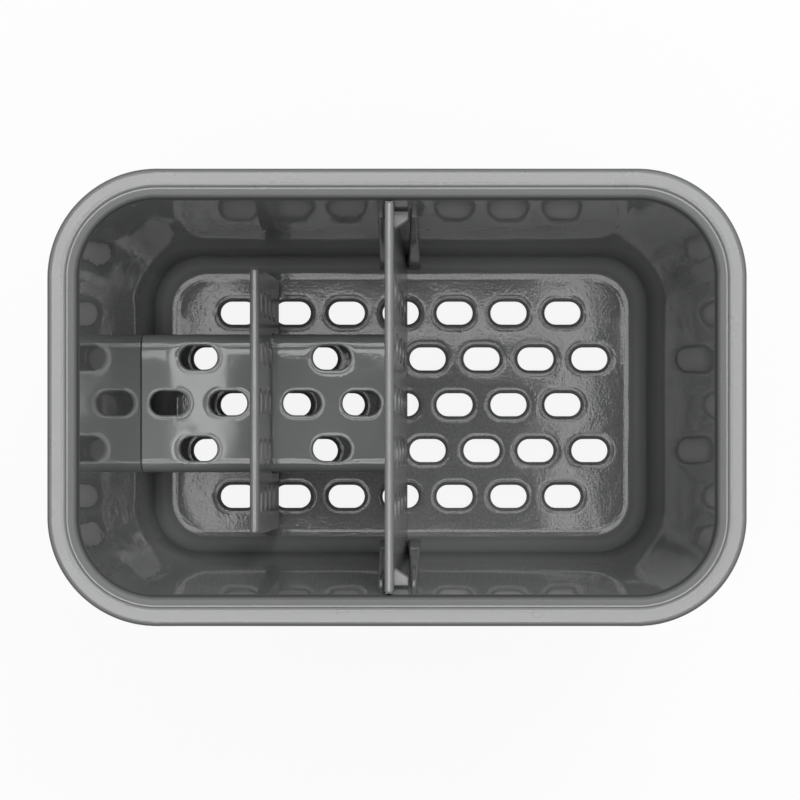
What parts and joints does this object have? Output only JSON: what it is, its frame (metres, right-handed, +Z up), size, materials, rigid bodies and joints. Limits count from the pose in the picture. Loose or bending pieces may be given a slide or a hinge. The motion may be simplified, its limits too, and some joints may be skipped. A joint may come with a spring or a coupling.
{
  "type": "kitchen sink caddy",
  "caption": "Rectangular kitchen sink caddy with rounded corners, a slotted draining floor, lift-out dividers and a raised perforated sponge platform.",
  "frame": {"origin": "on the surface that the caddy stands on, under the middle of its rim", "axes": "+X along the caddy's length, with the sponge platform at -X, +Y to the back, +Z up"},
  "size_m": [0.246, 0.161, 0.118],
  "materials": {
    "satin_grey": "satin moulded plastic with a fine grain",
    "gloss_dark_grey": "polished moulded plastic",
    "divider_grey": "polished moulded plastic",
    "platform_grey": "glossy moulded plastic with a light grain",
    "foot_rubber": "matte rubber"
  },
  "bodies": {
    "caddy": {"outer_shell": "satin_grey", "inner_tub": "gloss_dark_grey", "foot_front_left": "foot_rubber", "foot_front_right": "foot_rubber", "foot_back_left": "foot_rubber", "foot_back_right": "foot_rubber"},
    "tall_divider": {"centre_divider": "divider_grey"},
    "platform": {"sponge_platform": "platform_grey"},
    "short_divider": {"low_divider": "divider_grey"}
  },
  "joints": [
    {"name": "divider_lift", "type": "slide", "parent": "caddy", "child": "tall_divider", "axis": [0, 0, 1], "range_m": [0, 0.12]},
    {"name": "platform_lift", "type": "slide", "parent": "caddy", "child": "platform", "axis": [0, 0, 1], "range_m": [0, 0.12]},
    {"name": "low_divider_lift", "type": "slide", "parent": "platform", "child": "short_divider", "axis": [0, 0, 1], "range_m": [0, 0.12]}
  ]
}
